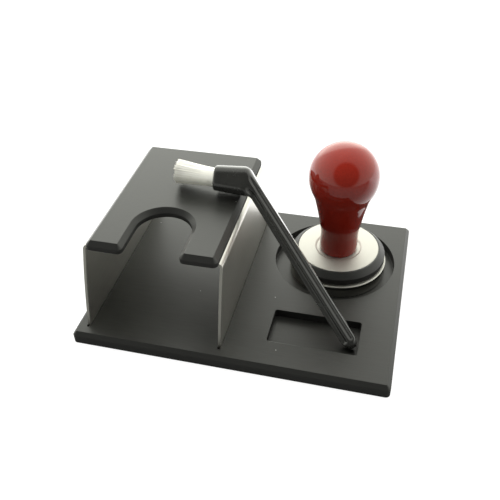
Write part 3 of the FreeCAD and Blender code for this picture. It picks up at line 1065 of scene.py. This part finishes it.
# %% [markdown]
# ## Floor, tent and lamp
# The red ball mirrors the place of the photograph: all is white, apart from a dark opening that the camera
# looks through. The world is therefore white, brighter towards the back and brightest low behind the
# object, with a soft dark patch towards the camera. The floor is pale paper that keeps the soft shadow. It
# is lifted to white for the camera, and in reflections it grows from dim in front to bright at the back.
# One wide lamp overhead gives the pale bristles their light. Nothing shiny mirrors it, as nothing does in
# the photograph.

# %% Floor
plain_white = (1.0, 1.0, 1.0)
floor_half = 2.5
floor_height = -0.0001
paper_grey = 0.28
camera_lift = 0.86
mirror_run = (-0.04, 0.11)
mirror_lift = (0.1, 1.9)


def white_paper():
    """Diffuse paper plus a glow that only the camera and reflections see, so it lights nothing else.

    In reflections, the glow grows along the floor's depth, over the mirror's run.
    """
    finish = bpy.data.materials.new("floor_paper")
    finish.use_nodes = True
    tree = finish.node_tree
    tree.nodes.clear()
    ray = add_node(tree, "ShaderNodeLightPath").outputs
    seen = maths(tree, "MAXIMUM", ray["Is Camera Ray"], ray["Is Glossy Ray"])
    seen = maths(tree, "MAXIMUM", seen, ray["Is Transmission Ray"])
    place = add_node(tree, "ShaderNodeTexCoord").outputs["Object"]
    depth = add_node(tree, "ShaderNodeSeparateXYZ", {0: place}).outputs["Y"]
    mirrored = map_range(tree, depth, *mirror_run, *mirror_lift)
    lift = blend_numbers(tree, ray["Is Camera Ray"], mirrored, camera_lift)
    strength = maths(tree, "MULTIPLY", seen, lift)
    glow = add_node(tree, "ShaderNodeEmission", {"Color": (*plain_white, 1.0), "Strength": strength})
    paper = add_node(tree, "ShaderNodeBsdfDiffuse", {"Color": (paper_grey, paper_grey, paper_grey, 1.0)})
    total = add_node(tree, "ShaderNodeAddShader", {0: paper.outputs[0], 1: glow.outputs[0]})
    add_node(tree, "ShaderNodeOutputMaterial", {"Surface": total.outputs[0]})
    return finish


def floor_sheet():
    """One square just under the mat, which is staging and no part of the object."""
    mesh = bpy.data.meshes.new("floor")
    signs = ((-1, -1), (1, -1), (1, 1), (-1, 1))
    mesh.from_pydata([(floor_half * p, floor_half * q, floor_height) for p, q in signs], [], [(0, 1, 2, 3)])
    mesh.materials.append(white_paper())
    sheet = bpy.data.objects.new("floor", mesh)
    bpy.context.scene.collection.objects.link(sheet)
    sheet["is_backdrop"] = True


floor_sheet()
print("floor", 2.0 * floor_half, "m wide")

# %% World
object_middle = (cad_low + cad_high) / 2.0
opening_direction = (camera_place - object_middle).normalized()
opening_edge = math.radians(47.0)
opening_core = math.radians(34.0)
opening_level = 0.10
tent_front = 0.60
tent_back = 2.45
tent_tint = (0.985, 1.0, 0.925)
window_direction = aim(heading, math.radians(15.0))
window_edge = math.radians(38.0)
window_core = math.radians(24.0)
window_level = 1.55


def round_patch(tree, way, direction, edge, core, level):
    """0 outside the edge's angle from the direction, the level inside the core's, and smooth between."""
    near = vector_maths(tree, "DOT_PRODUCT", way, direction)
    return map_range(
        tree, near, math.cos(edge), math.cos(core), 0.0, level, interpolation_type="SMOOTHSTEP")


def white_tent():
    """World light runs evenly from front to back with the cosine of the angle to the camera's way.

    The window adds to it. It falls to the opening's level near the camera's way, and the camera itself
    sees plain white.
    """
    world = bpy.data.worlds.new("white_tent")
    bpy.context.scene.world = world
    world.use_nodes = True
    tree = world.node_tree
    tree.nodes.clear()
    way = add_node(tree, "ShaderNodeTexCoord").outputs["Generated"]
    to_camera = vector_maths(tree, "DOT_PRODUCT", way, opening_direction)
    tent = map_range(tree, to_camera, -1.0, 1.0, tent_back, tent_front)
    window = round_patch(tree, way, window_direction, window_edge, window_core, window_level)
    opening = round_patch(tree, way, opening_direction, opening_edge, opening_core, 1.0)
    level = blend_numbers(tree, opening, maths(tree, "ADD", tent, window), opening_level)
    by_camera = add_node(tree, "ShaderNodeLightPath").outputs["Is Camera Ray"]
    light = add_node(tree, "ShaderNodeBackground", {
        "Color": blend_colours(tree, by_camera, tent_tint, plain_white),
        "Strength": blend_numbers(tree, by_camera, level, 1.0)})
    add_node(tree, "ShaderNodeOutputWorld", {"Surface": light.outputs[0]})


white_tent()
print("tent from", tent_front, "in front to", tent_back, "behind")

# %% Lamp
lamp_place = Vector((0.03, 0.12, 0.80))
lamp_width = 0.5
lamp_watts = 4.5
lamp_data = bpy.data.lights.new("overhead_softbox", "AREA")
lamp_data.size = lamp_width
lamp_data.energy = lamp_watts
lamp = bpy.data.objects.new("overhead_softbox", lamp_data)
lamp.visible_glossy = False
lamp.location = lamp_place
lamp.rotation_euler = (object_middle - lamp_place).to_track_quat("-Z", "Y").to_euler()
bpy.context.scene.collection.objects.link(lamp)
bpy.context.scene.view_settings.view_transform = "Standard"
print("lamp", lamp_watts, "W at", [round(part, 2) for part in lamp_place])

# %% [markdown]
# ## Finish
# The dressed part must keep the model's box, so the growth of its box beyond the model's is printed.

# %% Sizes and finish
seen_low, seen_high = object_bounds()
growth = (seen_high - seen_low) - (cad_high - cad_low)
print("box grew by", [round(part / MM, 2) for part in growth], "mm")
